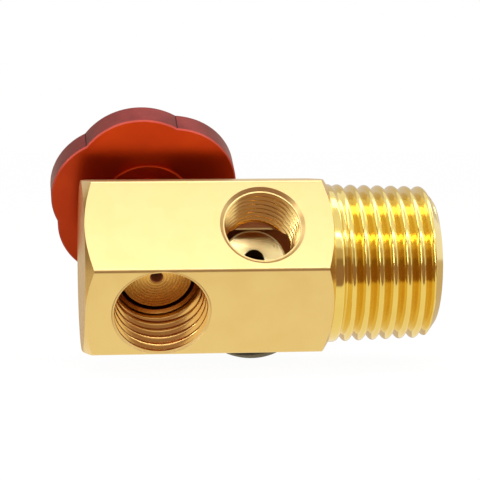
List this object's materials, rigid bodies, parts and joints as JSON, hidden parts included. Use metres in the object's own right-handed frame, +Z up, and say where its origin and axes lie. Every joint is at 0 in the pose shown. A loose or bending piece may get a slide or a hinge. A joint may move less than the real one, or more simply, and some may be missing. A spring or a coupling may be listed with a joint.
{
  "type": "air tank manifold",
  "caption": "Hexagonal brass air tank manifold with a tapered male thread, hose and gauge ports, a lobed shut-off knob and a relief valve.",
  "frame": {"origin": "centre of the shoulder where the tank thread leaves the hexagonal bar, on the bar's axis", "axes": "+X out along the tank thread, +Z up through a flat of the bar, +Y away from the picture's viewer, so that the hose port and gauge port face the front (-Y)"},
  "size_m": [0.0497, 0.0356, 0.0341],
  "materials": {
    "brass_bar": "bright drawn brass bar, turned ends, faint drawing lines along the flats",
    "brass_turned": "bright turned brass",
    "red_anodised": "turned and milled aluminium, red anodised",
    "bright_steel": "bright steel, lightly oiled",
    "zinc_steel": "dull zinc plate",
    "seal_rubber": "black nitrile rubber"
  },
  "bodies": {
    "manifold": {"manifold_body": "brass_bar", "valve_bonnet": "brass_turned", "bonnet_washer": "seal_rubber", "relief_body": "brass_turned", "relief_gasket": "seal_rubber", "relief_washer": "zinc_steel", "relief_spring": "bright_steel", "relief_adjuster": "brass_turned"},
    "seat_carrier": {"seat_holder": "brass_turned", "seat_disc": "seal_rubber"},
    "stem": {"valve_stem": "brass_turned", "stem_ring": "seal_rubber", "valve_knob": "red_anodised", "knob_lock_washer": "bright_steel", "knob_screw": "bright_steel"},
    "poppet": {"relief_poppet": "brass_turned", "poppet_seal": "seal_rubber"}
  },
  "joints": [
    {"name": "stem_travel", "type": "slide", "parent": "manifold", "child": "seat_carrier", "axis": [0, 0.866, 0.5], "range_m": [-0.0002, 0.0016]},
    {"name": "stem_turn", "type": "hinge", "parent": "seat_carrier", "child": "stem", "pos_m": [-0.0222, 0, 0], "axis": [0, 0.866, 0.5], "range_deg": [-90, 720]},
    {"name": "relief_lift", "type": "slide", "parent": "manifold", "child": "poppet", "axis": [0, 0.866, -0.5], "range_m": [0, 0.0012], "stiffness_N_per_m": 1500, "springref_m": -0.005, "deforming": ["relief_spring"]}
  ],
  "couplings": [
    {"joint": "stem_travel", "follows": "stem_turn", "m_per_rad": 0.00012732}
  ]
}
